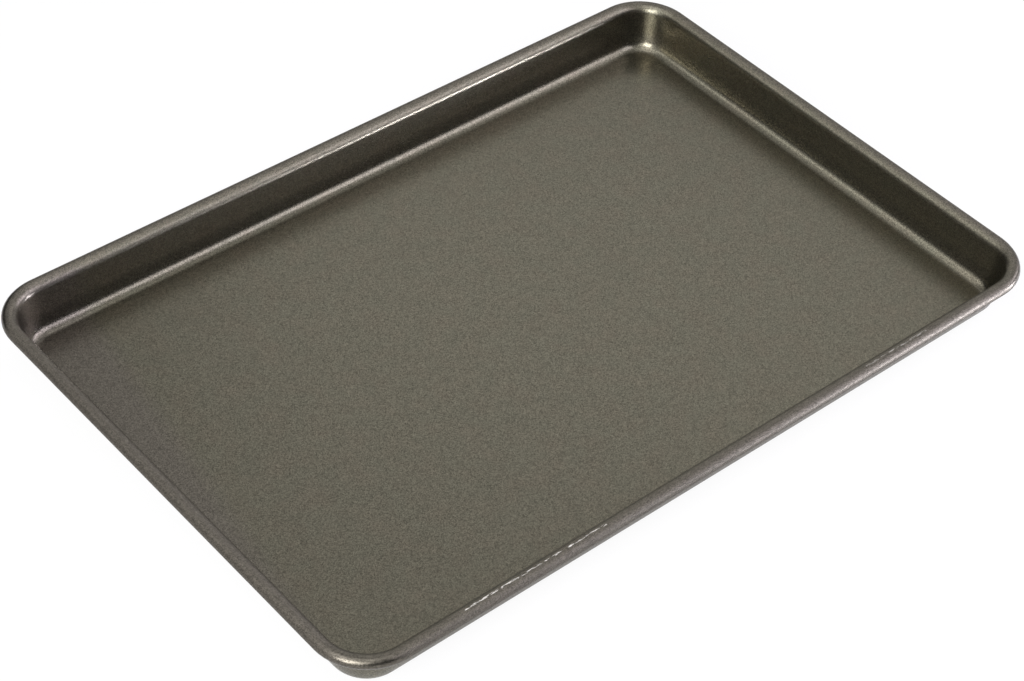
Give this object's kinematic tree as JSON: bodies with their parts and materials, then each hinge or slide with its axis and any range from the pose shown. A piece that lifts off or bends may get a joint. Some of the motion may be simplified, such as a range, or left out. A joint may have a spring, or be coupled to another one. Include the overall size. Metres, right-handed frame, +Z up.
{
  "type": "jelly roll pan",
  "caption": "Shallow rectangular baking pan with a flat floor, rounded corners, leaning walls and a rolled rim closed round a bent wire.",
  "frame": {"origin": "on the table under the middle of the pan", "axes": "+Z up through the opening, +X along the long side, -Y to the front"},
  "size_m": [0.395, 0.269, 0.024],
  "materials": {
    "coated_steel": "dark olive-grey non-stick coating with a fine metallic fleck, satin",
    "drawn_wire": "bare drawn steel wire"
  },
  "bodies": {
    "root": {"pan_shell": "coated_steel", "rim_wire": "drawn_wire"}
  },
  "joints": []
}
